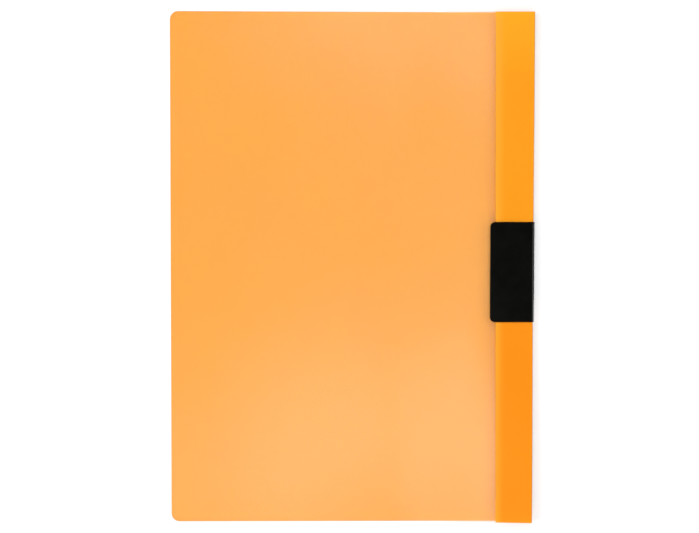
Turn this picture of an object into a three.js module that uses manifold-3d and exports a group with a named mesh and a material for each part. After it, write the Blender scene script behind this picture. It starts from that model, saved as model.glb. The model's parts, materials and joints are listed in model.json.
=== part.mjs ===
// A4 clip folder, lying on its back with the clip closed.
// One sheet of coloured translucent plastic makes the back cover, the spine and a narrow strip folded over
// the front. A clear film cover is bonded under that strip and opens at a crease beside it. A U-shaped clip
// of spring steel holds the spine shut at its middle and swings outwards on a rivet through the back cover.
// Millimetres. +X points across the covers to the spine, +Y to the head, +Z up from the table.

import * as THREE from "three";
import { mergeVertices } from "three/addons/utils/BufferGeometryUtils.js";
import Module from "manifold-3d";

const wasm = await Module();
wasm.setup();

// Covers
const coverWidth = 220; // free edge to the outside of the spine
const coverHeight = 310; // foot to head, a little more than the paper's
const cornerRadius = 5; // free corners of both covers
const sheetThickness = 0.5; // back cover, spine and strip
const filmThickness = 0.25; // front cover
const stripWidth = 23; // outside of the spine to the strip's inner edge, at the middle of the spine
const stripTaper = 1.7; // how much wider the strip is at the head than at the foot, folded a little askew
const creaseDistance = 32; // outside of the spine to the front cover's crease
const creaseWidth = 0.2; // film thinned away at the crease
const bondInset = 2.5; // outside of the spine to the film's bonded edge
const frontSlopeLength = 52; // crease to where the front cover lies flat
const backSlopeLength = 36; // length of the back cover's step up over the clip's back jaw
const backSlopeClearance = 2; // clip's swing to the top of that step

// Spine
const spineHeight = 4; // outside, where the clip holds it closed
const foldRadius = 0.8; // outside of both folds
const footOpening = 3.2; // how much taller the spine stands at the foot than at the clip
const headOpening = 0.6; // the same at the head

// Clip
const clipLength = 60.8; // along the spine
const jawDepth = 26.3; // outside of the spine to the jaws' free edges
const steelThickness = 0.6;
const jawCornerRadius = 3; // free corners of both jaws
const clipOffset = -2; // clip's middle from the covers' middle, towards the head
const pivotInset = 6; // outside of the spine to the rivet's axis
const pivotFromEnd = 6.5; // clip's foot end to the rivet's axis
const reliefClearance = 1; // web's foot end past the point where it would meet the spine

// Rivet
const shankRadius = 2;
const rivetHeadRadius = 3.4;
const rivetHeadHeight = 0.4;
const washerRadius = 4.2;
const washerThickness = 0.4;
const clinchRadius = 2.8;
const clinchHeight = 0.6;

// Clearances
const seatGap = 0.1; // between faces that lie on each other
const runningGap = 0.08; // radial, between the shank and the hole it turns in
const trim = 1; // stock left past an outline and cut away with it

// Fineness of curved surfaces
const foldSteps = 5;
const slopeSteps = 14;
const spanSteps = 18; // along each end of the spine, from the clip to the cover's edge
const roundSteps = 48;
const cornerSteps = 6; // along each rounded corner of an outline
const bendSteps = 8; // along each bend of the clip

// Places that follow from the sizes
const spineX = (coverWidth - seatGap - steelThickness) / 2; // the whole folder is centred on X = 0
const freeX = spineX - coverWidth;
const creaseX = spineX - creaseDistance;
const jawEdgeX = spineX - jawDepth;
const headY = coverHeight / 2;
const footY = -headY;
const clipHeadY = clipOffset + clipLength / 2;
const clipFootY = clipHeadY - clipLength;
const pivotX = spineX - pivotInset;
const pivotY = clipFootY + pivotFromEnd;
const panelLift = steelThickness + seatGap; // back panel's underside over the clip's back jaw
const stripTop = panelLift + spineHeight;
const filmTop = stripTop - sheetThickness - seatGap;
const jawUnderside = stripTop + seatGap;

// The clip swings over the strip from pinchFootY to pinchHeadY, where the spine stays at its closed height.
const pinchHeadY = pivotY + Math.hypot(jawDepth - pivotInset, clipLength - pivotFromEnd) + seatGap;
const pinchFootY = pivotY - Math.hypot(pivotInset + panelLift, pivotFromEnd) - seatGap;
const backSlopeTopX = pivotX - Math.hypot(jawDepth - pivotInset, pivotFromEnd) - backSlopeClearance;
const backSlopeFootX = backSlopeTopX - backSlopeLength;
const washerZ = panelLift + sheetThickness + seatGap;
const clinchZ = washerZ + washerThickness + seatGap;

const asSolid = (geometry) => {
  const bare = geometry.index ? geometry.toNonIndexed() : geometry.clone();
  bare.deleteAttribute("normal");
  bare.deleteAttribute("uv");
  const merged = mergeVertices(bare, 1e-4);
  return new wasm.Manifold(
    new wasm.Mesh({
      numProp: 3,
      vertProperties: merged.getAttribute("position").array,
      triVerts: new Uint32Array(merged.index.array),
    }),
  );
};

const asMesh = (name, solid, material) => {
  const cut = solid.getMesh();
  const geometry = new THREE.BufferGeometry();
  geometry.setAttribute("position", new THREE.BufferAttribute(cut.vertProperties, 3));
  geometry.setIndex(new THREE.BufferAttribute(cut.triVerts, 1));
  geometry.computeVertexNormals();
  const mesh = new THREE.Mesh(geometry, material);
  mesh.name = name;
  return mesh;
};

// A closed solid through sections of the same number of points, each a loop of [x, z] at one Y.
const loft = (sections, places) => {
  const count = sections[0].length;
  const vertices = sections.flatMap((loop, i) => loop.flatMap(([x, z]) => [x, places[i], z]));
  const faces = [];
  for (let i = 0; i + 1 < places.length; i += 1) {
    for (let j = 0; j < count; j += 1) {
      const next = (j + 1) % count;
      const [a, b, c, d] = [i * count + j, i * count + next, (i + 1) * count + next, (i + 1) * count + j];
      faces.push(a, c, b, a, d, c);
    }
  }
  const cap = (loop) => THREE.ShapeUtils.triangulateShape(loop.map(([x, z]) => new THREE.Vector2(x, z)), []);
  const last = (places.length - 1) * count;
  cap(sections[0]).forEach(([a, b, c]) => faces.push(a, b, c));
  cap(sections[sections.length - 1]).forEach(([a, b, c]) => faces.push(last + a, last + c, last + b));
  const geometry = new THREE.BufferGeometry();
  geometry.setAttribute("position", new THREE.Float32BufferAttribute(vertices, 3));
  geometry.setIndex(faces);
  return geometry;
};

// Plan outline, from foot to head and from lowX to highX, whose corners at lowX are rounded.
const planBlock = (lowX, highX, lowY, highY, radius, top) => {
  const outline = new THREE.Shape();
  outline.moveTo(highX, lowY);
  outline.lineTo(highX, highY);
  outline.lineTo(lowX + radius, highY);
  outline.absarc(lowX + radius, highY - radius, radius, Math.PI / 2, Math.PI, false);
  outline.absarc(lowX + radius, lowY + radius, radius, Math.PI, Math.PI * 1.5, false);
  outline.closePath();
  const depth = top + 2 * trim;
  const block = new THREE.ExtrudeGeometry(outline, { depth, bevelEnabled: false, curveSegments: cornerSteps });
  return asSolid(block.translate(0, 0, -trim));
};

// How much taller the spine stands at y than at the clip: nothing where the clip is or swings, then a rise.
const spineOpening = (y) => {
  const headShare = (y - pinchHeadY) / (headY - pinchHeadY);
  const footShare = (pinchFootY - y) / (pinchFootY - footY);
  const rise = (share) => Math.sin((Math.PI / 2) * THREE.MathUtils.clamp(share, 0, 1));
  return headOpening * rise(headShare) + footOpening * rise(footShare);
};

// The strip tilts about the crease, which stays straight and level so that the front cover can hinge there.
const stripSlope = (y) => Math.atan2(spineOpening(y), creaseDistance - foldRadius);

const evenly = (from, to, steps) =>
  Array.from({ length: steps + 1 }, (_, i) => from + ((to - from) * i) / steps);

const stations = [
  ...evenly(footY - trim, pinchFootY, spanSteps),
  ...evenly(pinchHeadY, headY + trim, spanSteps),
];

const arc = (x, z, radius, from, to) =>
  evenly(from, to, foldSteps).map((angle) => [x + radius * Math.cos(angle), z + radius * Math.sin(angle)]);

// Underside of the back cover: flat on the table, then up a gentle step over the clip's back jaw.
const panelUnderside = (x) => panelLift * THREE.MathUtils.smoothstep(x, backSlopeFootX, backSlopeTopX);

const stripEdge = (y) => spineX - stripWidth - (stripTaper * y) / coverHeight;

// Section of the back cover at y, drawn twice: along its outside, then back along its inside.
const sheetSection = (y) => {
  const slope = stripSlope(y);
  const foldX = spineX - foldRadius;
  const upperFoldZ = stripTop + Math.tan(slope) * (foldX - foldRadius * Math.sin(slope) - creaseX)
    - foldRadius * Math.cos(slope);
  const trace = (offset) => {
    const radius = foldRadius - offset;
    const slopePlaces = evenly(backSlopeFootX, backSlopeTopX, slopeSteps);
    const panel = slopePlaces.map((x) => [x, panelUnderside(x) + offset]);
    const lowerFold = arc(foldX, panelLift + foldRadius, radius, -Math.PI / 2, 0);
    const upperFold = arc(foldX, upperFoldZ, radius, 0, Math.PI / 2 + slope);
    const [foldEndX, foldEndZ] = upperFold[upperFold.length - 1];
    const stripEnd = [stripEdge(y), foldEndZ - Math.tan(slope) * (foldEndX - stripEdge(y))];
    return [[freeX - trim, offset], ...panel, ...lowerFold, ...upperFold, stripEnd];
  };
  return [...trace(0), ...trace(sheetThickness).reverse()];
};

// Section of a film at y: its upper line through the given X places, and its lower line one thickness below.
const filmSection = (places, topAt) => {
  const upper = places.map((x) => [x, topAt(x)]);
  const lower = upper.map(([x, z]) => [x, z - filmThickness]);
  return [...lower, ...upper.reverse()];
};

// The bonded margin follows the strip's underside and runs on to the crease.
const marginSection = (y) =>
  filmSection(
    [creaseX + creaseWidth / 2, stripEdge(y), spineX - bondInset],
    (x) => filmTop + Math.tan(stripSlope(y)) * (x - creaseX),
  );

// The free part of the film comes down from the crease to lie on the back cover.
const frontCoverSection = () => {
  const flatTop = sheetThickness + seatGap + filmThickness;
  const slopeEndX = creaseX - frontSlopeLength;
  return filmSection(
    [freeX - trim, ...evenly(slopeEndX, creaseX - creaseWidth / 2, slopeSteps)],
    (x) => flatTop + (filmTop - flatTop) * THREE.MathUtils.smoothstep(x, slopeEndX, creaseX),
  );
};

const coverTop = stripTop + Math.max(footOpening, headOpening);
const coverOutline = planBlock(freeX, spineX + trim, footY, headY, cornerRadius, coverTop);

// A round solid about the rivet's axis, from a profile of [radius, height].
const turned = (profile) => {
  const points = profile.map(([radius, height]) => new THREE.Vector2(radius, height));
  const lathe = new THREE.LatheGeometry(points, roundSteps);
  return asSolid(lathe.rotateX(Math.PI / 2).translate(pivotX, pivotY, 0));
};

const makeBackCover = () =>
  asSolid(loft(stations.map(sheetSection), stations))
    .intersect(coverOutline)
    .subtract(
      turned([
        [0, 0],
        [shankRadius + seatGap, 0],
        [shankRadius + seatGap, filmTop - trim],
        [0, filmTop - trim],
      ]),
    );

const makeMargin = () => asSolid(loft(stations.map(marginSection), stations)).intersect(coverOutline);

const makeFrontCover = () => {
  const section = frontCoverSection();
  return asSolid(loft([section, section], [footY - trim, headY + trim])).intersect(coverOutline);
};

// The clip's section is a U round the spine, with the bends concentric with the spine's folds.
const makeClip = () => {
  const bendRadius = foldRadius + seatGap;
  const bendX = spineX - foldRadius;
  const lowBendZ = steelThickness + bendRadius;
  const highBendZ = jawUnderside - bendRadius;
  const outerRadius = bendRadius + steelThickness;
  const section = new THREE.Shape();
  section.moveTo(jawEdgeX - trim, 0);
  section.lineTo(bendX, 0);
  section.absarc(bendX, lowBendZ, outerRadius, -Math.PI / 2, 0, false);
  section.absarc(bendX, highBendZ, outerRadius, 0, Math.PI / 2, false);
  section.lineTo(jawEdgeX - trim, jawUnderside + steelThickness);
  section.lineTo(jawEdgeX - trim, jawUnderside);
  section.absarc(bendX, highBendZ, bendRadius, Math.PI / 2, 0, true);
  section.absarc(bendX, lowBendZ, bendRadius, 0, -Math.PI / 2, true);
  section.lineTo(jawEdgeX - trim, steelThickness);
  section.closePath();
  const depth = clipLength + 2 * trim;
  const bent = new THREE.ExtrudeGeometry(section, { depth, bevelEnabled: false, curveSegments: bendSteps });
  bent.rotateX(Math.PI / 2).translate(0, clipHeadY + trim, 0);

  // The web stops short of the rivet, so that the clip can turn a quarter circle without meeting the spine.
  const reliefLength = pivotFromEnd + pivotInset + seatGap + reliefClearance + trim;
  const reliefHeight = jawUnderside - steelThickness - seatGap;
  const relief = new THREE.BoxGeometry(jawDepth, reliefLength, reliefHeight);
  relief.translate(spineX, clipFootY - trim + reliefLength / 2, (steelThickness + jawUnderside) / 2);
  const rivetSeat = turned([
    [0, -trim],
    [rivetHeadRadius + seatGap, -trim],
    [rivetHeadRadius + seatGap, seatGap],
    [shankRadius + runningGap, rivetHeadHeight + seatGap],
    [shankRadius + runningGap, jawUnderside - trim],
    [0, jawUnderside - trim],
  ]);
  const clipTop = jawUnderside + steelThickness;
  const outline = planBlock(jawEdgeX, spineX + jawDepth, clipFootY, clipHeadY, jawCornerRadius, clipTop);
  return asSolid(bent).subtract(asSolid(relief)).subtract(rivetSeat).intersect(outline);
};

// The rivet's head is countersunk into the back jaw, and its far end is clinched over the washer.
const makeRivet = () =>
  turned([
    [0, 0],
    [rivetHeadRadius, 0],
    [shankRadius, rivetHeadHeight],
    [shankRadius, clinchZ],
    [clinchRadius, clinchZ],
    [clinchRadius - clinchHeight / 2, clinchZ + clinchHeight],
    [0, clinchZ + clinchHeight],
  ]);

const makeWasher = () =>
  turned([
    [shankRadius + seatGap, washerZ],
    [washerRadius, washerZ],
    [washerRadius, washerZ + washerThickness],
    [shankRadius + seatGap, washerZ + washerThickness],
    [shankRadius + seatGap, washerZ],
  ]);

const orangeSheet = new THREE.MeshStandardMaterial({ color: 0xfb981c, roughness: 0.45, metalness: 0 });
const clearFilm = new THREE.MeshStandardMaterial({
  color: 0xf6f4ee,
  roughness: 0.5,
  metalness: 0,
  transparent: true,
  opacity: 0.35,
});
const blackLacquer = new THREE.MeshStandardMaterial({ color: 0x0a0b09, roughness: 0.4, metalness: 0 });
const platedSteel = new THREE.MeshStandardMaterial({ color: 0xb9bbbd, roughness: 0.35, metalness: 1 });

const folder = new THREE.Group();
folder.name = "clip_folder";
folder.add(
  asMesh("back_cover", makeBackCover(), orangeSheet),
  asMesh("front_cover_margin", makeMargin(), clearFilm),
  asMesh("front_cover", makeFrontCover(), clearFilm),
  asMesh("clip", makeClip(), blackLacquer),
  asMesh("pivot_rivet", makeRivet(), platedSteel),
  asMesh("rivet_washer", makeWasher(), platedSteel),
);

export default folder;
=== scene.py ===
# %% [markdown]
# # A clip folder for A4 paper
# The folder lies on its back on a white table. An orange sheet of translucent plastic is its back cover,
# its spine and a narrow strip on the front. A clear, slightly hazy film is the front cover, and a black
# steel clip holds the spine shut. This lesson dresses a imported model: the frame gives every place and
# every joint, and each step below makes one piece or one finish around it.

# %% Load the frame
import json
import math

import bmesh
import bpy
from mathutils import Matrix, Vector


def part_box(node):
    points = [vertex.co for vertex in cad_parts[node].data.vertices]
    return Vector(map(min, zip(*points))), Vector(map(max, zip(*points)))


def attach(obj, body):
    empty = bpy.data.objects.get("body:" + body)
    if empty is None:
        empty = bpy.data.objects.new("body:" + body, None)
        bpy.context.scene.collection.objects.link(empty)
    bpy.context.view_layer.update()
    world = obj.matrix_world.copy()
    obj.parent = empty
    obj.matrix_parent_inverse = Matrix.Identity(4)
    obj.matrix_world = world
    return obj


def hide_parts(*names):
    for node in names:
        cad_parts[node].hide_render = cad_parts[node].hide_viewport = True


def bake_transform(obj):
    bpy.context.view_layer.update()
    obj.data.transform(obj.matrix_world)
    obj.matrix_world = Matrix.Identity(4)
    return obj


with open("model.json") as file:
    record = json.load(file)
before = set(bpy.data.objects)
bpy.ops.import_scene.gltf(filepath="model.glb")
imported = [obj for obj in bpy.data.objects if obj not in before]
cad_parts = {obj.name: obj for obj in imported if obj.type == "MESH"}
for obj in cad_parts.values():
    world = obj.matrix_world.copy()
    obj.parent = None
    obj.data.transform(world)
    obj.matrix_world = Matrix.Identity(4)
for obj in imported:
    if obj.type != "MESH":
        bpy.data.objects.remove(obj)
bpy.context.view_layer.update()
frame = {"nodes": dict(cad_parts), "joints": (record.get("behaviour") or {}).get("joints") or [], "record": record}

RECORD_SLOTS = [material["slot"] for material in frame["record"]["materials"]]
print("nodes:", sorted(frame["nodes"]))
print("slots:", RECORD_SLOTS)

# %% [markdown]
# ## Sizes
# Sizes are in metres. The outline comes from the frame's own boxes, so that each dressed piece lands where
# its solid is. The thicknesses are those usual for such folders, half a millimetre of sheet and a quarter of
# a millimetre of film. How far the sheet opens towards the ends of the spine is an estimate.

# %% Sizes of sheet, film and clip
MM = 0.001
SHEET = 0.5 * MM
FILM = 0.25 * MM
STEEL = 0.6 * MM
SEAT_GAP = 0.1 * MM
CORNER = 5 * MM
FOLD_RADIUS = 0.8 * MM
SPINE_HEIGHT = 4 * MM
FOOT_OPENING = 3.2 * MM
HEAD_OPENING = 0.6 * MM
STRIP_WIDTH = 23 * MM
STRIP_TAPER = 1.7 * MM
BOND_INSET = 2.5 * MM
FRONT_SLOPE = 52 * MM
BACK_SLOPE = 36 * MM
SLOPE_CLEARANCE = 2 * MM
CORNER_SEGMENTS = 12
FOLD_SEGMENTS = 8
LINES_ALONG = 75
print("sheet", round(SHEET / MM, 2), "mm, film", round(FILM / MM, 2), "mm, steel", round(STEEL / MM, 2), "mm")

# %% Places from the frame
JOINTS = {joint["name"]: joint for joint in frame["joints"]}
HINGE = Vector(JOINTS["front_cover_hinge"]["pos_m"])
PIVOT = Vector(JOINTS["clip_swing"]["pos_m"])

sheet_low, sheet_high = (Vector(corner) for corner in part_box("back_cover"))
clip_low, clip_high = (Vector(corner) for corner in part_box("clip"))
FREE_X, SPINE_X = sheet_low.x, sheet_high.x
FOOT_Y, HEAD_Y = sheet_low.y, sheet_high.y
CREASE_X = HINGE.x
PANEL_LIFT = STEEL + SEAT_GAP
STRIP_TOP = PANEL_LIFT + SPINE_HEIGHT
FILM_TOP = STRIP_TOP - SHEET - SEAT_GAP
BACK_SLOPE_TOP_X = PIVOT.x - math.hypot(PIVOT.x - clip_low.x, PIVOT.y - clip_low.y) - SLOPE_CLEARANCE
BACK_SLOPE_FOOT_X = BACK_SLOPE_TOP_X - BACK_SLOPE
PINCH_HEAD_Y = PIVOT.y + math.hypot(PIVOT.x - clip_low.x, clip_high.y - PIVOT.y)
PINCH_FOOT_Y = PIVOT.y - math.hypot(SPINE_X - PIVOT.x + PANEL_LIFT, PIVOT.y - clip_low.y)
print("cover", round((SPINE_X - FREE_X) / MM, 1), "by", round((HEAD_Y - FOOT_Y) / MM, 1), "mm")
print("clip", [round(side / MM, 1) for side in clip_high - clip_low], "mm")

# %% [markdown]
# ## The sheet's form
# The clip pinches the spine at its middle. Away from it the folded sheet springs open, more at the foot
# than at the head, so the strip tilts a little about the crease of the front cover. A formula says how much,
# and both the sheet and the film follow it, which keeps them together from end to end.

# %% How far the spine opens, and how the back panel steps up
def smooth(share):
    share = min(max(share, 0), 1)
    return share * share * (3 - 2 * share)


def rise(share):
    return math.sin(math.pi / 2 * min(max(share, 0), 1))


def spine_opening(y):
    at_head = HEAD_OPENING * rise((y - PINCH_HEAD_Y) / (HEAD_Y - PINCH_HEAD_Y))
    at_foot = FOOT_OPENING * rise((PINCH_FOOT_Y - y) / (PINCH_FOOT_Y - FOOT_Y))
    return at_head + at_foot


def strip_tilt(x, y):
    return spine_opening(y) * (x - CREASE_X) / (SPINE_X - FOLD_RADIUS - CREASE_X)


def panel_lift(x):
    return PANEL_LIFT * smooth((x - BACK_SLOPE_FOOT_X) / BACK_SLOPE)


print("strip stands", round(spine_opening(FOOT_Y) / MM, 2), "mm higher at the foot")

# %% [markdown]
# ## Working by hand in edit mode
# Sheets start as one plane. Its corners are beveled round, its edge is extruded along the spine and back
# over the front, and the folds are beveled. Bisect then cuts clean lines across the faces, which gives the
# sheet the points that it needs to bend. Only what is selected is changed, so each step first selects by
# place.

# %% Select by place
def deselect_everything():
    if bpy.context.object and bpy.context.object.mode != "OBJECT":
        bpy.ops.object.mode_set(mode="OBJECT")
    bpy.ops.object.select_all(action="DESELECT")


def make_active(piece):
    deselect_everything()
    piece.select_set(True)
    bpy.context.view_layer.objects.active = piece


def select_where(kind, wanted):
    """Selects the vertices or edges of the mesh in edit mode whose places pass the test."""
    bpy.ops.mesh.select_mode(type=kind)
    bpy.ops.mesh.select_all(action="DESELECT")
    mesh = bmesh.from_edit_mesh(bpy.context.object.data)
    parts = mesh.verts if kind == "VERT" else mesh.edges
    for part in parts:
        corners = [part.co] if kind == "VERT" else [corner.co for corner in part.verts]
        if all(wanted(corner) for corner in corners):
            part.select = True
    mesh.select_flush_mode()
    bmesh.update_edit_mesh(bpy.context.object.data)


# %% Start a sheet, and cut lines across it
def add_sheet(name, low, high):
    """A flat plane between two corners, left in edit mode."""
    deselect_everything()
    middle = (low + high) / 2
    bpy.ops.mesh.primitive_plane_add(size=1, location=middle)
    piece = bpy.context.object
    piece.name = piece.data.name = name
    bpy.ops.object.transform_apply(location=True, rotation=False, scale=False)
    bpy.ops.object.mode_set(mode="EDIT")
    size = high - low
    bpy.ops.mesh.select_all(action="SELECT")
    bpy.ops.transform.resize(value=(size.x, size.y, 1), center_override=middle)
    return piece


def cut_lines(places, direction):
    """Bisects the whole mesh in edit mode by planes across a direction."""
    for place in places:
        bpy.ops.mesh.select_all(action="SELECT")
        bpy.ops.mesh.bisect(plane_co=direction * place, plane_no=direction, threshold=1e-6)


def round_free_corners():
    """Rounds the two corners of a sheet's free edge."""
    select_where("VERT", lambda place: place.x < FREE_X + MM)
    bpy.ops.mesh.bevel(offset=CORNER, segments=CORNER_SEGMENTS, affect="VERTICES")


def evenly(start, end, steps):
    return [start + (end - start) * step / steps for step in range(steps + 1)]


ALONG_X = Vector((1, 0, 0))
ALONG_Y = Vector((0, 1, 0))

# %% [markdown]
# Solidify gives a sheet its thickness, and a small bevel takes the sharpness off every edge. Weighted normals
# then keep the large faces looking flat, because the bevel alone would shade them as if they were bent.

# %% Thicken a sheet and round its edges
SHARP_ANGLE = math.radians(50)
SMOOTH_ANGLE = math.radians(40)
SHEET_ROUND_SEGMENTS = 2  # enough on edges this thin
METAL_ROUND_SEGMENTS = 3


def thicken(piece, thickness, edge_round):
    """Gives a sheet its thickness, behind its faces, and rounds its cut edges."""
    make_active(piece)
    solid = piece.modifiers.new("thickness", "SOLIDIFY")
    solid.thickness = thickness
    solid.offset = -1
    solid.use_even_offset = True
    bpy.ops.object.modifier_apply(modifier=solid.name)
    round_edges(piece, edge_round, SHEET_ROUND_SEGMENTS)


def round_edges(piece, width, segments):
    make_active(piece)
    edge = piece.modifiers.new("edge", "BEVEL")
    edge.width = width
    edge.segments = segments
    edge.limit_method = "ANGLE"
    edge.angle_limit = SHARP_ANGLE
    bpy.ops.object.modifier_apply(modifier=edge.name)
    bpy.ops.object.shade_smooth_by_angle(angle=SMOOTH_ANGLE)
    normals = piece.modifiers.new("normals", "WEIGHTED_NORMAL")
    normals.keep_sharp = True
    bpy.ops.object.modifier_apply(modifier=normals.name)


def report(piece):
    piece.data.calc_loop_triangles()
    print(piece.name, len(piece.data.loop_triangles), "triangles")


# %% [markdown]
# ## The orange sheet
# The real piece is one die cut sheet of polypropylene, scored and folded twice. It is made here in the same
# order: the back panel, the two round corners, the spine, the strip, the folds. The faces made first are the
# outside of the sheet, so the thickness grows inwards.

# %% Cut and fold the sheet
SHEET_EDGE_ROUND = 0.12 * MM
PANEL_LINES, SLOPE_LINES, STRIP_LINES = 8, 16, 6
orange_sheet = add_sheet("orange_sheet", Vector((FREE_X, FOOT_Y, 0)), Vector((SPINE_X, HEAD_Y, 0)))
bpy.ops.mesh.flip_normals()
round_free_corners()
select_where("EDGE", lambda place: place.x > SPINE_X - MM)
bpy.ops.mesh.extrude_region_move(TRANSFORM_OT_translate={"value": (0, 0, SPINE_HEIGHT)})
bpy.ops.mesh.extrude_region_move(TRANSFORM_OT_translate={"value": (-STRIP_WIDTH, 0, 0)})
select_where("EDGE", lambda place: place.x > SPINE_X - MM)
bpy.ops.mesh.bevel(offset=FOLD_RADIUS, segments=FOLD_SEGMENTS, affect="EDGES")

slope_lines = evenly(BACK_SLOPE_FOOT_X, BACK_SLOPE_TOP_X, SLOPE_LINES)
strip_lines = evenly(SPINE_X - STRIP_WIDTH, SPINE_X - FOLD_RADIUS, STRIP_LINES)[1:-1]
panel_lines = evenly(FREE_X + 2 * CORNER, BACK_SLOPE_FOOT_X - CORNER, PANEL_LINES)
cut_lines(panel_lines + slope_lines + strip_lines, ALONG_X)
cut_lines(evenly(FOOT_Y + CORNER, HEAD_Y - CORNER, LINES_ALONG), ALONG_Y)
bpy.ops.object.mode_set(mode="OBJECT")
print("orange sheet has", len(orange_sheet.data.vertices), "points")

# %% [markdown]
# Now every point of the flat panel, the spine and the strip is moved by the formulas above. The strip's free
# edge also runs a little askew, as the photograph shows: it is wider at the head than at the foot.

# %% Let the sheet spring open
for vertex in orange_sheet.data.vertices:
    place = vertex.co
    height = place.z / SPINE_HEIGHT
    on_strip = place.z > SPINE_HEIGHT - MM / 2 and place.x < SPINE_X - MM / 2
    if on_strip:
        reach = (SPINE_X - place.x) / STRIP_WIDTH
        place.x -= reach * STRIP_TAPER * place.y / (HEAD_Y - FOOT_Y)
    place.z += panel_lift(place.x) if height < 0.5 and not on_strip else PANEL_LIFT
    place.z += strip_tilt(place.x, place.y) * min(max(height, 0), 1)

thicken(orange_sheet, SHEET, SHEET_EDGE_ROUND)
report(orange_sheet)

# %% [markdown]
# ## The clear film
# The film is one piece as well. Its margin is bonded under the strip, and the rest comes down from the
# crease and lies on the back cover. The model's hinge is at the crease, and the film is cut with close lines
# for a millimetre on each side of it.

# %% How the film comes down from the crease
FILM_SWELL = 0.45 * MM


def film_height(x, y):
    flat = SHEET + SEAT_GAP + FILM
    before_crease = (CREASE_X - x) / FRONT_SLOPE
    lead_in = -FRONT_SLOPE * before_crease * max(1 - before_crease, 0) ** 3
    slope = spine_opening(y) / (SPINE_X - FOLD_RADIUS - CREASE_X)
    return flat + (FILM_TOP - flat) * smooth(1 - before_crease) + slope * lead_in


def film_swell(x, y):
    """A film that lies loose on a sheet isn't quite flat: it stands off by fractions of a millimetre."""
    across = (x - FREE_X) / (CREASE_X - FREE_X)
    along = (y - FOOT_Y) / (HEAD_Y - FOOT_Y)
    hump = math.sin(math.pi * min(max(across, 0), 1)) ** 2
    waves = 1 + 0.5 * math.cos(math.pi * 2 * along) + 0.25 * math.sin(math.pi * (3 * along + 2 * across))
    return FILM_SWELL * hump * waves


print("film stands", round(film_height(CREASE_X, FOOT_Y) / MM, 2), "mm high at the crease")

# %% Cut the film
FILM_EDGE_ROUND = 0.06 * MM
BOND_X = SPINE_X - BOND_INSET
BEND = 1 * MM
COVER_LINES, DESCENT_LINES, BEND_LINES, MARGIN_LINES = 22, 20, 8, 4
clear_film = add_sheet("clear_film", Vector((FREE_X, FOOT_Y, 0)), Vector((BOND_X, HEAD_Y, 0)))
round_free_corners()
cut_lines(evenly(FREE_X + 2 * CORNER, CREASE_X - FRONT_SLOPE - CORNER, COVER_LINES), ALONG_X)
cut_lines(evenly(CREASE_X - FRONT_SLOPE, CREASE_X - CORNER, DESCENT_LINES), ALONG_X)
bend_lines = evenly(CREASE_X - BEND, CREASE_X + BEND, BEND_LINES)
margin_lines = evenly(CREASE_X + CORNER, BOND_X - MM, MARGIN_LINES)
cut_lines(bend_lines + margin_lines, ALONG_X)
cut_lines(evenly(FOOT_Y + CORNER, HEAD_Y - CORNER, LINES_ALONG), ALONG_Y)
bpy.ops.object.mode_set(mode="OBJECT")

for vertex in clear_film.data.vertices:
    place = vertex.co
    if place.x > CREASE_X:
        place.z = FILM_TOP + strip_tilt(place.x, place.y)
    else:
        place.z = film_height(place.x, place.y) + film_swell(place.x, place.y)

thicken(clear_film, FILM, FILM_EDGE_ROUND)
report(clear_film)

# %% [markdown]
# ## The clip, the rivet and its washer
# The solids of these pressed and turned pieces already have the right shape. What they lack is the small
# round that deburring and lacquer leave on every edge, which is what catches the light. Each is copied, its
# loose triangles are merged, the flat faces are joined up again, and the edges are beveled.

# %% Round the edges of the metal pieces
CLIP_EDGE_ROUND = 0.14 * MM
RIVET_EDGE_ROUND = 0.06 * MM
WASHER_EDGE_ROUND = 0.08 * MM


def finish_metal(name, node, edge_round):
    source = frame["nodes"][node]
    piece = bpy.data.objects.new(name, source.data.copy())
    piece.data.name = name
    piece.data.materials.clear()
    bpy.context.scene.collection.objects.link(piece)
    make_active(piece)
    bpy.ops.object.mode_set(mode="EDIT")
    bpy.ops.mesh.select_all(action="SELECT")
    bpy.ops.mesh.remove_doubles(threshold=1e-6)
    bpy.ops.mesh.dissolve_limited(angle_limit=math.radians(1))
    bpy.ops.object.mode_set(mode="OBJECT")
    round_edges(piece, edge_round, METAL_ROUND_SEGMENTS)
    report(piece)
    return piece


black_clip = finish_metal("black_clip", "clip", CLIP_EDGE_ROUND)
rivet = finish_metal("steel_rivet", "pivot_rivet", RIVET_EDGE_ROUND)
washer = finish_metal("steel_washer", "rivet_washer", WASHER_EDGE_ROUND)

# %% [markdown]
# ## A function for nodes
# A finish is a small tree of shader nodes. One function adds a node, sets its values and joins its inputs,
# so that each tree below reads from top to bottom. Colours are written as hex values, as on a screen, and
# turned into the linear values that light needs.

# %% Colours and nodes
def colour(hex_value, alpha=1.0):
    """An sRGB hex value such as 0xFE9A1C as linear red, green, blue and alpha."""
    shares = [(hex_value >> shift & 255) / 255 for shift in (16, 8, 0)]
    linear = [s / 12.92 if s <= 0.04045 else ((s + 0.055) / 1.055) ** 2.4 for s in shares]
    return (*linear, alpha)


def add_node(tree, kind, values=(), links=(), **settings):
    """Adds a node with its settings, its input values and the outputs that feed its inputs."""
    node = tree.nodes.new(kind)
    for setting, value in settings.items():
        setattr(node, setting, value)
    for socket, value in dict(values).items():
        node.inputs[socket].default_value = value
    for socket, output in dict(links).items():
        tree.links.new(output, node.inputs[socket])
    return node


def new_material(name):
    material = bpy.data.materials.new(name)
    material.use_nodes = True
    material.node_tree.nodes.clear()
    return material, material.node_tree


NOISE_LOW, NOISE_HIGH = 0.3, 0.7  # nearly all of a noise texture lies between these


def dress(piece, material, body):
    piece.data.materials.clear()
    piece.data.materials.append(material)
    if body:
        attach(piece, body)


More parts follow.
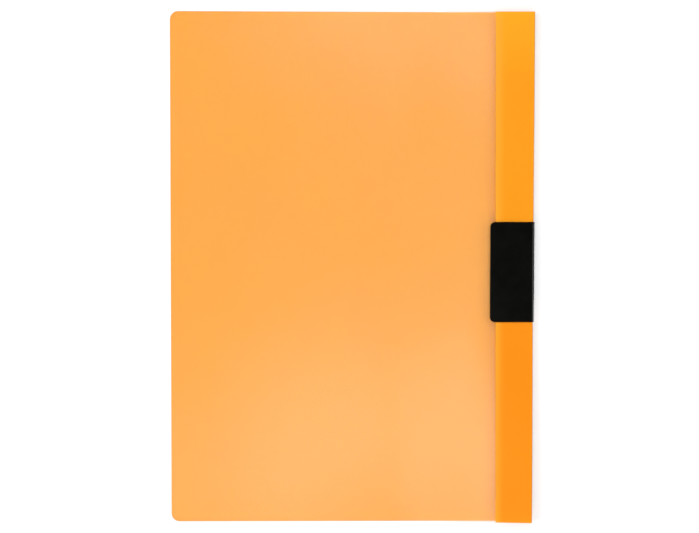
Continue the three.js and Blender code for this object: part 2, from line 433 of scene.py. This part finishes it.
# %% [markdown]
# ## Orange polypropylene sheet
# Polypropylene is dyed right through and calendered with a fine matt grain. Some light comes straight
# through it, some is scattered, and little is reflected as gloss. So each face mixes three shaders: one that
# reflects, one that lets scattered light through and one that is a clear orange filter. A ray that has gone
# in by one face only passes the filter at the other, so that what a sheet scatters counts once.

# %% The sheet's clouds and grain
ORANGE = colour(0xFFB01C)
# also carries the painted shade on the strip
ORANGE_DEEP_AND_SHADED = colour(0xFF9504)
# painted light along the strip's inner edge
ORANGE_PAINTED_LIGHT = colour(0xFFB636)
# painted shade on faces that turn sideways
ORANGE_EDGE_SHADE = colour(0xB87A28)
ORANGE_FILTER = colour(0xFFCC70)
GRAIN_SIZE = 0.7 * MM  # coarser than real grain, which would be too fine to show
GRAIN_DEPTH = 0.03 * MM
CLOUD_SIZE = 70 * MM
CLOUD_TONE = 0.07
MIX_A, MIX_B, MIX_RESULT = 6, 7, 2  # a colour Mix node's own sockets

orange_pp, tree = new_material("orange_polypropylene")
place = add_node(tree, "ShaderNodeTexCoord")
xyz = add_node(tree, "ShaderNodeSeparateXYZ", links={"Vector": place.outputs["Object"]})
clouds = add_node(
    tree, "ShaderNodeTexNoise", {"Scale": 1 / CLOUD_SIZE, "Detail": 3, "Roughness": 0.5},
    {"Vector": place.outputs["Object"]},
)
grain = add_node(
    tree, "ShaderNodeTexNoise", {"Scale": 1 / GRAIN_SIZE, "Detail": 2, "Roughness": 0.6},
    {"Vector": place.outputs["Object"]},
)
print("grain", round(GRAIN_SIZE / MM, 1), "mm, clouds", round(CLOUD_SIZE / MM), "mm")

# %% [markdown]
# On the strip, three layers lie over each other, and the orange is painted deeper there as painted shade. The
# painted shade is least at the head, where more light gets in between them, and grows past the clip towards the
# foot.

# %% Paint shade into the orange along the strip, and light at its inner edge
HEAD_FADE = 50 * MM
HEAD_SHADE_TONE = 0.5
FOOT_SHADE_TONE = 0.4
FOOT_FADE = 20 * MM
STRIP_FROM, STRIP_TO = 2 * MM, 3.5 * MM
PAINTED_LIGHT_EDGE_WIDTH = 6 * MM
PAINTED_LIGHT_EDGE_SHARE = 0.7

shade_from_head = add_node(
    tree, "ShaderNodeMapRange",
    {"From Min": HEAD_Y, "From Max": HEAD_Y - HEAD_FADE, "To Min": 0.0, "To Max": HEAD_SHADE_TONE},
    {"Value": xyz.outputs["Y"]}, interpolation_type="SMOOTHSTEP",
)
shade_past_clip = add_node(
    tree, "ShaderNodeMapRange",
    {"From Min": PINCH_HEAD_Y, "From Max": PINCH_FOOT_Y - FOOT_FADE, "To Min": 0.0, "To Max": FOOT_SHADE_TONE},
    {"Value": xyz.outputs["Y"]}, interpolation_type="SMOOTHSTEP",
)
shade_along_spine = add_node(
    tree, "ShaderNodeMath", links={0: shade_from_head.outputs["Result"], 1: shade_past_clip.outputs["Result"]},
    operation="ADD",
)
on_strip = add_node(
    tree, "ShaderNodeMapRange", {"From Min": STRIP_FROM, "From Max": STRIP_TO},
    {"Value": xyz.outputs["Z"]},
)
# Painted shade: the strip's orange is pushed towards the deeper orange along the spine, least at the head.
painted_strip_shade = add_node(
    tree, "ShaderNodeMath", links={0: shade_along_spine.outputs["Value"], 1: on_strip.outputs["Result"]},
    operation="MULTIPLY",
)
cloud_shift = add_node(
    tree, "ShaderNodeMapRange",
    {"From Min": NOISE_LOW, "From Max": NOISE_HIGH, "To Min": -CLOUD_TONE, "To Max": CLOUD_TONE},
    {"Value": clouds.outputs["Fac"]},
)
cloud_and_shade_tone = add_node(
    tree, "ShaderNodeMath", links={0: painted_strip_shade.outputs["Value"], 1: cloud_shift.outputs["Result"]},
    operation="ADD", use_clamp=True,
)
body_colour = add_node(
    tree, "ShaderNodeMix", {MIX_A: ORANGE, MIX_B: ORANGE_DEEP_AND_SHADED}, {"Factor": cloud_and_shade_tone.outputs["Value"]},
    data_type="RGBA",
)
# Painted light: a paler orange along the strip's inner edge, where light gets in from the side.
strip_edge_x = SPINE_X - STRIP_WIDTH
past_strip_edge = add_node(
    tree, "ShaderNodeMapRange",
    {
        "From Min": strip_edge_x, "From Max": strip_edge_x + PAINTED_LIGHT_EDGE_WIDTH,
        "To Min": PAINTED_LIGHT_EDGE_SHARE, "To Max": 0.0,
    },
    {"Value": xyz.outputs["X"]}, interpolation_type="SMOOTHSTEP",
)
painted_edge_light = add_node(
    tree, "ShaderNodeMath",
    links={0: past_strip_edge.outputs["Result"], 1: on_strip.outputs["Result"]}, operation="MULTIPLY",
)
strip_colour = add_node(
    tree, "ShaderNodeMix", {MIX_B: ORANGE_PAINTED_LIGHT},
    {"Factor": painted_edge_light.outputs["Value"], MIX_A: body_colour.outputs[MIX_RESULT]}, data_type="RGBA",
)
print("pale edge", round(PAINTED_LIGHT_EDGE_WIDTH / MM, 1), "mm wide along the strip")

# %% [markdown]
# Cut edges and the outsides of the folds are painted duller, as painted shade on faces that turn away from the
# lamps. Where a face doesn't look straight up or down it counts as an edge.

# %% Paint shade on the edges, and mix the sheet's three shaders
FLAT_FACE, EDGE_FACE = 0.97, 0.4  # how far a face's normal points along Z
EDGE_SHADE_TONE = 0.9
SHEET_IOR = 1.49
CLEAR_SHARE = 0.14
SCATTER_SHARE = 0.15

facing = add_node(tree, "ShaderNodeSeparateXYZ", links={"Vector": place.outputs["Normal"]})
flatness = add_node(
    tree, "ShaderNodeMath", links={0: facing.outputs["Z"]}, operation="ABSOLUTE",
)
edge_share = add_node(
    tree, "ShaderNodeMapRange",
    {"From Min": FLAT_FACE, "From Max": EDGE_FACE, "To Min": 0.0, "To Max": EDGE_SHADE_TONE},
    {"Value": flatness.outputs["Value"]}, interpolation_type="SMOOTHSTEP",
)
# Painted shade: faces that turn sideways are mixed towards a duller orange.
sheet_colour = add_node(
    tree, "ShaderNodeMix", {MIX_B: ORANGE_EDGE_SHADE},
    {"Factor": edge_share.outputs["Result"], MIX_A: strip_colour.outputs[MIX_RESULT]}, data_type="RGBA",
)
grain_bump = add_node(
    tree, "ShaderNodeBump", {"Strength": 0.25, "Distance": GRAIN_DEPTH}, {"Height": grain.outputs["Fac"]},
)
reflected = add_node(
    tree, "ShaderNodeBsdfPrincipled", {"Roughness": 0.5, "IOR": SHEET_IOR, "Specular IOR Level": 0.2},
    {"Base Color": sheet_colour.outputs[MIX_RESULT], "Normal": grain_bump.outputs["Normal"]},
)
scattered = add_node(
    tree, "ShaderNodeBsdfTranslucent", links={"Color": sheet_colour.outputs[MIX_RESULT]},
)
filtered = add_node(tree, "ShaderNodeBsdfTransparent", {"Color": ORANGE_FILTER})
side = add_node(tree, "ShaderNodeNewGeometry")
clear_share = add_node(
    tree, "ShaderNodeMath", {1: CLEAR_SHARE}, {0: side.outputs["Backfacing"]}, operation="MAXIMUM",
)
diffused = add_node(
    tree, "ShaderNodeMixShader", {"Fac": SCATTER_SHARE},
    {1: reflected.outputs["BSDF"], 2: scattered.outputs["BSDF"]},
)
sheet_surface = add_node(
    tree, "ShaderNodeMixShader",
    links={"Fac": clear_share.outputs["Value"], 1: diffused.outputs["Shader"], 2: filtered.outputs["BSDF"]},
)
add_node(tree, "ShaderNodeOutputMaterial", links={"Surface": sheet_surface.outputs["Shader"]})
print("orange polypropylene:", len(tree.nodes), "nodes")

# %% [markdown]
# ## Clear film
# The front cover is clear polypropylene with a light frosting on it. It lets nearly everything through,
# scatters a little into a white haze, and has a satin gloss that shows a lamp as a wide soft patch. A Fresnel
# node weighs the gloss, which a real film has most of at a slant. Haze and gloss belong to the face by which
# a ray comes in, so that the film's thickness doesn't count them twice. The cut edge looks grey, because a
# ray that meets it has a long way to go through the film.

# %% The film's haze
HAZE_WHITE = colour(0xFFFFFC)
CLEAR = colour(0xFDFDFC)
EDGE_TINT = colour(0xB9BDBC)
HAZE_CLOUD_SIZE = 55 * MM
HAZE_WITH_PAINTED_SHADE_AT_FREE_EDGE = 0.047
HAZE_AT_CREASE = 0.066
HAZE_CLOUDS = 0.005

frosted_film, tree = new_material("frosted_clear_polypropylene_film")
place = add_node(tree, "ShaderNodeTexCoord")
clouds = add_node(
    tree, "ShaderNodeTexNoise", {"Scale": 1 / HAZE_CLOUD_SIZE, "Detail": 2, "Roughness": 0.45},
    {"Vector": place.outputs["Object"]},
)
haze_clouds = add_node(
    tree, "ShaderNodeMapRange",
    {"From Min": NOISE_LOW, "From Max": NOISE_HIGH, "To Min": -HAZE_CLOUDS, "To Max": HAZE_CLOUDS},
    {"Value": clouds.outputs["Fac"]},
)
xyz = add_node(tree, "ShaderNodeSeparateXYZ", links={"Vector": place.outputs["Object"]})
# Painted shade: the haze thins towards the free edge, which darkens the film where the left lamp lights it harder.
haze_with_painted_shade = add_node(
    tree, "ShaderNodeMapRange",
    {
        "From Min": FREE_X, "From Max": CREASE_X,
        "To Min": HAZE_WITH_PAINTED_SHADE_AT_FREE_EDGE, "To Max": HAZE_AT_CREASE,
    },
    {"Value": xyz.outputs["X"]},
)
haze_amount = add_node(
    tree, "ShaderNodeMath", links={0: haze_with_painted_shade.outputs["Result"], 1: haze_clouds.outputs["Result"]},
    operation="ADD",
)
haze = add_node(tree, "ShaderNodeBsdfDiffuse", {"Color": HAZE_WHITE})
print("haze", HAZE_WITH_PAINTED_SHADE_AT_FREE_EDGE, "at the free edge,", HAZE_AT_CREASE, "at the crease")

# %% The film's gloss and its cut edge
FROST_SIZE = 0.9 * MM  # coarser than real frosting as well
FROST_DEPTH = 0.02 * MM
GLOSS_ROUGHNESS = 0.22
FILM_IOR = 1.4
FILM_FLAT_FACE, FILM_EDGE_FACE = 0.9, 0.3

frost = add_node(
    tree, "ShaderNodeTexNoise", {"Scale": 1 / FROST_SIZE, "Detail": 2, "Roughness": 0.6},
    {"Vector": place.outputs["Object"]},
)
frost_bump = add_node(
    tree, "ShaderNodeBump", {"Strength": 0.2, "Distance": FROST_DEPTH}, {"Height": frost.outputs["Fac"]},
)
facing = add_node(tree, "ShaderNodeSeparateXYZ", links={"Vector": place.outputs["Normal"]})
flatness = add_node(
    tree, "ShaderNodeMath", links={0: facing.outputs["Z"]}, operation="ABSOLUTE",
)
edge_share = add_node(
    tree, "ShaderNodeMapRange", {"From Min": FILM_FLAT_FACE, "From Max": FILM_EDGE_FACE},
    {"Value": flatness.outputs["Value"]}, interpolation_type="SMOOTHSTEP",
)
film_tint = add_node(
    tree, "ShaderNodeMix", {MIX_A: CLEAR, MIX_B: EDGE_TINT}, {"Factor": edge_share.outputs["Result"]},
    data_type="RGBA",
)
through = add_node(tree, "ShaderNodeBsdfTransparent", links={"Color": film_tint.outputs[MIX_RESULT]})
gloss = add_node(
    tree, "ShaderNodeBsdfAnisotropic", {"Color": HAZE_WHITE, "Roughness": GLOSS_ROUGHNESS},
    {"Normal": frost_bump.outputs["Normal"]}, distribution="GGX",
)
fresnel = add_node(
    tree, "ShaderNodeFresnel", {"IOR": FILM_IOR}, {"Normal": frost_bump.outputs["Normal"]},
)
side = add_node(tree, "ShaderNodeNewGeometry")
gloss_share = add_node(
    tree, "ShaderNodeMath", links={0: fresnel.outputs["Fac"], 1: side.outputs["Backfacing"]},
    operation="SUBTRACT", use_clamp=True,
)
haze_share = add_node(
    tree, "ShaderNodeMath", links={0: haze_amount.outputs["Value"], 1: side.outputs["Backfacing"]},
    operation="SUBTRACT", use_clamp=True,
)
hazy = add_node(
    tree, "ShaderNodeMixShader",
    links={"Fac": haze_share.outputs["Value"], 1: through.outputs["BSDF"], 2: haze.outputs["BSDF"]},
)
film_surface = add_node(
    tree, "ShaderNodeMixShader",
    links={"Fac": gloss_share.outputs["Value"], 1: hazy.outputs["Shader"], 2: gloss.outputs["BSDF"]},
)
add_node(tree, "ShaderNodeOutputMaterial", links={"Surface": film_surface.outputs["Shader"]})
print("frosted film:", len(tree.nodes), "nodes")

# %% [markdown]
# ## Black stoving lacquer
# The clip is sprung steel dipped in a black stoving lacquer. The lacquer is a satin dielectric with a slight
# orange peel, and so dark that only its edges and bends show where the lamps are.

# %% Make the lacquer
LACQUER_BLACK = colour(0x040403)
LACQUER_WORN = colour(0x090A08)
PEEL_SIZE = 1.2 * MM
PEEL_DEPTH = 0.03 * MM
RUB_SIZE = 9 * MM
SMOOTHEST, ROUGHEST = 0.13, 0.18
LACQUER_IOR = 1.5

black_lacquer, tree = new_material("black_stoving_lacquer")
place = add_node(tree, "ShaderNodeTexCoord")
peel = add_node(
    tree, "ShaderNodeTexNoise", {"Scale": 1 / PEEL_SIZE, "Detail": 2, "Roughness": 0.5},
    {"Vector": place.outputs["Object"]},
)
rub = add_node(
    tree, "ShaderNodeTexNoise", {"Scale": 1 / RUB_SIZE, "Detail": 4, "Roughness": 0.6},
    {"Vector": place.outputs["Object"]},
)
lacquer_colour = add_node(
    tree, "ShaderNodeMix", {MIX_A: LACQUER_BLACK, MIX_B: LACQUER_WORN}, {"Factor": rub.outputs["Fac"]},
    data_type="RGBA",
)
lacquer_roughness = add_node(
    tree, "ShaderNodeMapRange",
    {"From Min": NOISE_LOW, "From Max": NOISE_HIGH, "To Min": SMOOTHEST, "To Max": ROUGHEST},
    {"Value": rub.outputs["Fac"]},
)
peel_bump = add_node(
    tree, "ShaderNodeBump", {"Strength": 0.12, "Distance": PEEL_DEPTH}, {"Height": peel.outputs["Fac"]},
)
lacquer = add_node(
    tree, "ShaderNodeBsdfPrincipled", {"IOR": LACQUER_IOR, "Specular IOR Level": 0.3},
    {
        "Base Color": lacquer_colour.outputs[MIX_RESULT],
        "Roughness": lacquer_roughness.outputs["Result"],
        "Normal": peel_bump.outputs["Normal"],
    },
)
add_node(tree, "ShaderNodeOutputMaterial", links={"Surface": lacquer.outputs["BSDF"]})
print("black lacquer:", len(tree.nodes), "nodes")

# %% [markdown]
# ## Zinc plated steel
# The rivet and the washer are turned and stamped from mild steel and plated with bright zinc. Fine rings
# from turning run round the rivet's axis, and the plating has faint cloudy patches.

# %% Make the plating
ZINC_LIGHT = colour(0xC9CBCC)
ZINC_DULL = colour(0xA9ACAE)
RING_PITCH = 0.25 * MM
RING_DEPTH = 0.01 * MM
RINGS_AT_SCALE_ONE = 20
PATCH_SIZE = 1.5 * MM

zinc_plate, tree = new_material("bright_zinc_plated_steel")
place = add_node(tree, "ShaderNodeTexCoord")
centred = add_node(
    tree, "ShaderNodeMapping", {"Location": (-PIVOT.x, -PIVOT.y, 0)}, {"Vector": place.outputs["Object"]},
)
rings = add_node(
    tree, "ShaderNodeTexWave", {"Scale": 1 / (RING_PITCH * RINGS_AT_SCALE_ONE), "Distortion": 0.4},
    {"Vector": centred.outputs["Vector"]}, wave_type="RINGS", rings_direction="Z",
)
patches = add_node(
    tree, "ShaderNodeTexNoise", {"Scale": 1 / PATCH_SIZE, "Detail": 3}, {"Vector": place.outputs["Object"]},
)
zinc_colour = add_node(
    tree, "ShaderNodeMix", {MIX_A: ZINC_LIGHT, MIX_B: ZINC_DULL}, {"Factor": patches.outputs["Fac"]},
    data_type="RGBA",
)
ring_bump = add_node(
    tree, "ShaderNodeBump", {"Strength": 0.2, "Distance": RING_DEPTH}, {"Height": rings.outputs["Fac"]},
)
zinc = add_node(
    tree, "ShaderNodeBsdfPrincipled", {"Metallic": 1.0, "Roughness": 0.32},
    {"Base Color": zinc_colour.outputs[MIX_RESULT], "Normal": ring_bump.outputs["Normal"]},
)
add_node(tree, "ShaderNodeOutputMaterial", links={"Surface": zinc.outputs["BSDF"]})
print("zinc plate:", len(tree.nodes), "nodes")

# %% [markdown]
# ## Dress the pieces
# Each piece gets its finish, each but the film the body that it moves with, and stands for its solid in the model.
# On the real folder the film's margin stays with the back cover while the rest turns; here the film is attached to
# no body.

# %% Give each piece its finish, and each but the film its body
dress(orange_sheet, orange_pp, "back")
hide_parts("back_cover")
dress(clear_film, frosted_film, None)
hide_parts("front_cover", "front_cover_margin")
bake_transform(clear_film)
dress(black_clip, black_lacquer, "clip")
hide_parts("clip")
dress(rivet, zinc_plate, "back")
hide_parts("pivot_rivet")
dress(washer, zinc_plate, "back")
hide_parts("rivet_washer")

# %% [markdown]
# ## The table
# The table is plain white. Light Path adds the last bit of brightness, and more of it far from the lamps, but
# only where the camera, a mirror image or a clear sheet shows the table. So it reads as white paper while the
# folder is lit no harder, and its shadow stays.

# %% Which rays show a background
def shown_to_eye(tree):
    """One for rays from the camera, from a gloss and through a clear sheet, nought for all others."""
    ray = add_node(tree, "ShaderNodeLightPath")
    seen = add_node(
        tree, "ShaderNodeMath", links={0: ray.outputs["Is Camera Ray"], 1: ray.outputs["Is Glossy Ray"]},
        operation="MAXIMUM",
    )
    seen_through = add_node(
        tree, "ShaderNodeMath", links={0: seen.outputs["Value"], 1: ray.outputs["Is Transmission Ray"]},
        operation="MAXIMUM",
    )
    return seen_through.outputs["Value"]


# %% Lay the table
TABLE_SIZE = 6.0
TABLE_DROP = 0.05 * MM  # keeps the table's face clear of the sheet's
NEAR, FAR = 0.35, 1.1
NEAR_LIFT, FAR_LIFT = 0.2, 1.0
WHITE = colour(0xE1E1E1)
deselect_everything()
bpy.ops.mesh.primitive_plane_add(size=TABLE_SIZE, location=(0, 0, -TABLE_DROP))
table = bpy.context.object
table.name = "table"
white_table, tree = new_material("matt_white_table")
table_shown = shown_to_eye(tree)
place = add_node(tree, "ShaderNodeTexCoord")
distance = add_node(
    tree, "ShaderNodeVectorMath", links={0: place.outputs["Object"]}, operation="LENGTH",
)
wanted = add_node(
    tree, "ShaderNodeMapRange", {"From Min": NEAR, "From Max": FAR, "To Min": NEAR_LIFT, "To Max": FAR_LIFT},
    {"Value": distance.outputs["Value"]}, interpolation_type="SMOOTHSTEP",
)
lift = add_node(
    tree, "ShaderNodeMath", links={0: table_shown, 1: wanted.outputs["Result"]},
    operation="MULTIPLY",
)
paper = add_node(tree, "ShaderNodeBsdfDiffuse", {"Color": WHITE})
glow = add_node(
    tree, "ShaderNodeEmission", {"Color": (1, 1, 1, 1)}, {"Strength": lift.outputs["Value"]},
)
lit_paper = add_node(
    tree, "ShaderNodeAddShader", links={0: paper.outputs["BSDF"], 1: glow.outputs["Emission"]},
)
add_node(tree, "ShaderNodeOutputMaterial", links={"Surface": lit_paper.outputs["Shader"]})
table.data.materials.append(white_table)
print("table", TABLE_SIZE, "m wide")

# %% [markdown]
# ## The lamps
# Four large lamps stand round the folder at a slant, which keeps gloss off its flat faces. Three smaller ones
# hang over it, where the satin film mirrors them: two make the pale patch near its foot and one the patch at
# its head.

# %% Hang the lamps
LARGE_LAMP = (0.9, 0.9)
LAMP_DISTANCE, LAMP_HEIGHT = 1.25, 1.1
PATCH_HEIGHT = 1.2


def add_lamp(name, place, size, watts, aim=Vector((0, 0, 0))):
    lamp = bpy.data.lights.new(name, "AREA")
    lamp.shape = "RECTANGLE"
    lamp.size, lamp.size_y = size
    lamp.energy = watts
    holder = bpy.data.objects.new(name, lamp)
    bpy.context.scene.collection.objects.link(holder)
    holder.location = place
    holder.rotation_euler = (aim - Vector(place)).to_track_quat("-Z", "Y").to_euler()
    holder.visible_camera = False
    return holder


add_lamp("head_lamp", (0, LAMP_DISTANCE, LAMP_HEIGHT), LARGE_LAMP, watts=13.1)
add_lamp("foot_lamp", (0, -LAMP_DISTANCE, LAMP_HEIGHT), LARGE_LAMP, watts=13.1)
add_lamp("left_lamp", (-1.6, 0, 1.4), size=(1.2, 1.2), watts=27)
add_lamp("right_lamp", (LAMP_DISTANCE, 0, LAMP_HEIGHT), LARGE_LAMP, watts=9.8)

main_aim = Vector((-0.01, -0.1, 0))
corner_aim = Vector((-0.08, -0.135, 0))
head_aim = Vector((0.02, 0.14, 0))
add_lamp("main_patch_lamp", (0.0, -0.285, PATCH_HEIGHT), size=(0.28, 0.2), watts=0.85, aim=main_aim)
add_lamp("corner_patch_lamp", (-0.17, -0.38, PATCH_HEIGHT), size=(0.26, 0.14), watts=0.32, aim=corner_aim)
add_lamp("head_patch_lamp", (0.056, 0.295, PATCH_HEIGHT), size=(0.36, 0.07), watts=0.5, aim=head_aim)

# %% [markdown]
# The world around is white up to the height of a studio's walls and dark above, as a dim ceiling is, so
# that the flat faces that look straight up mirror darkness and keep their depth. It gives the folder only a
# tenth of the light that it shows to the eye.

# %% Surround
WALL_FADES_FROM, WALL_FADES_TO = 0.12, 0.42  # height of the ray's direction, one being straight up
WALL_WHITE, CEILING_GREY = 1.0, 0.04
LIGHT_SHARE = 0.1

world = bpy.data.worlds.new("studio")
bpy.context.scene.world = world
world.use_nodes = True
tree = world.node_tree
tree.nodes.clear()
direction = add_node(tree, "ShaderNodeTexCoord")
parts = add_node(tree, "ShaderNodeSeparateXYZ", links={"Vector": direction.outputs["Generated"]})
wall = add_node(
    tree, "ShaderNodeMapRange",
    {
        "From Min": WALL_FADES_FROM, "From Max": WALL_FADES_TO,
        "To Min": WALL_WHITE, "To Max": CEILING_GREY,
    },
    {"Value": parts.outputs["Z"]}, interpolation_type="SMOOTHSTEP",
)
share = add_node(
    tree, "ShaderNodeMapRange", {"To Min": LIGHT_SHARE, "To Max": 1.0}, {"Value": shown_to_eye(tree)},
)
strength = add_node(
    tree, "ShaderNodeMath", links={0: wall.outputs["Result"], 1: share.outputs["Result"]},
    operation="MULTIPLY",
)
background = add_node(
    tree, "ShaderNodeBackground", {"Color": (1, 1, 1, 1)}, {"Strength": strength.outputs["Value"]},
)
add_node(tree, "ShaderNodeOutputWorld", links={"Surface": background.outputs["Background"]})
print("surround:", len(tree.nodes), "nodes")

# %% [markdown]
# ## The camera
# The camera looks down from right above, as in the photograph. The height of 85 centimetres and the lens of
# 72 mm are a choice, because the outline fits nearly as well with other pairs. The camera stands a little to
# the left and is tipped by about two and a half degrees, which makes the folder's head look a touch wider
# than its foot.

# %% Set the camera
CAMERA_PLACE = (-0.01658, 0.03742, 0.85146)
CAMERA_TILT_DEGREES = (-2.444, -0.987, 0.109)
SENSOR_WIDTH = 36.0
PICTURE_WIDTH = 699
FOCAL_PIXELS = 1400

camera_data = bpy.data.cameras.new("camera")
camera_data.sensor_width = SENSOR_WIDTH
camera_data.sensor_fit = "HORIZONTAL"
camera_data.lens = FOCAL_PIXELS / PICTURE_WIDTH * SENSOR_WIDTH
camera = bpy.data.objects.new("camera", camera_data)
bpy.context.scene.collection.objects.link(camera)
camera.location = CAMERA_PLACE
camera.rotation_euler = [math.radians(angle) for angle in CAMERA_TILT_DEGREES]
bpy.context.scene.camera = camera
bpy.context.scene.view_settings.view_transform = "Standard"
print("lens", round(camera_data.lens, 1), "mm")
